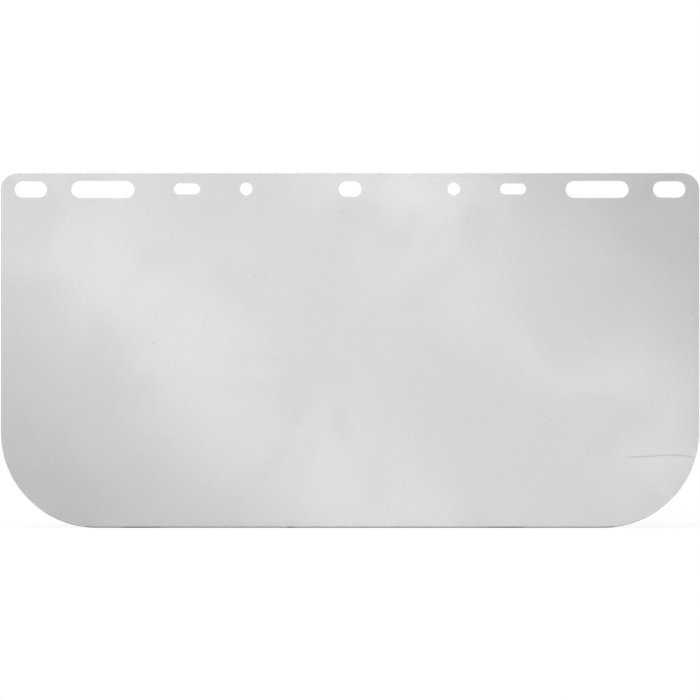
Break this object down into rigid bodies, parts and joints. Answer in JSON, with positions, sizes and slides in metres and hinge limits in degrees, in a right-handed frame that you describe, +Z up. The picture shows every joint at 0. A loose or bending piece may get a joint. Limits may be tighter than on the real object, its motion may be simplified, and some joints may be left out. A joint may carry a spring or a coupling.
{
  "type": "face shield window",
  "caption": "Flat clear plastic face shield window with rounded lower corners and a row of holes along the top, covered by peel-off film on both faces.",
  "frame": {"origin": "middle of the hole row: halfway between the two round pin holes, at half the sheet's thickness", "axes": "+X along the sheet's length; +Y from the front face to the wearer's side; +Z up, from the rounded lower corners to the hole row"},
  "size_m": [0.3938, 0.0012, 0.2],
  "materials": {
    "clear_sheet": "clear, glossy, die-cut edges",
    "front_film": "translucent satin masking film",
    "back_film": "translucent satin masking film"
  },
  "bodies": {
    "window": {"clear_window": "clear_sheet"},
    "front_film": {"masking_film_front": "front_film"},
    "back_film": {"masking_film_back": "back_film"}
  },
  "joints": [
    {"name": "front_film_peel", "type": "slide", "parent": "window", "child": "front_film", "axis": [0, -1, 0], "range_m": [0, 0.05]},
    {"name": "back_film_peel", "type": "slide", "parent": "window", "child": "back_film", "axis": [0, 1, 0], "range_m": [0, 0.05]}
  ]
}
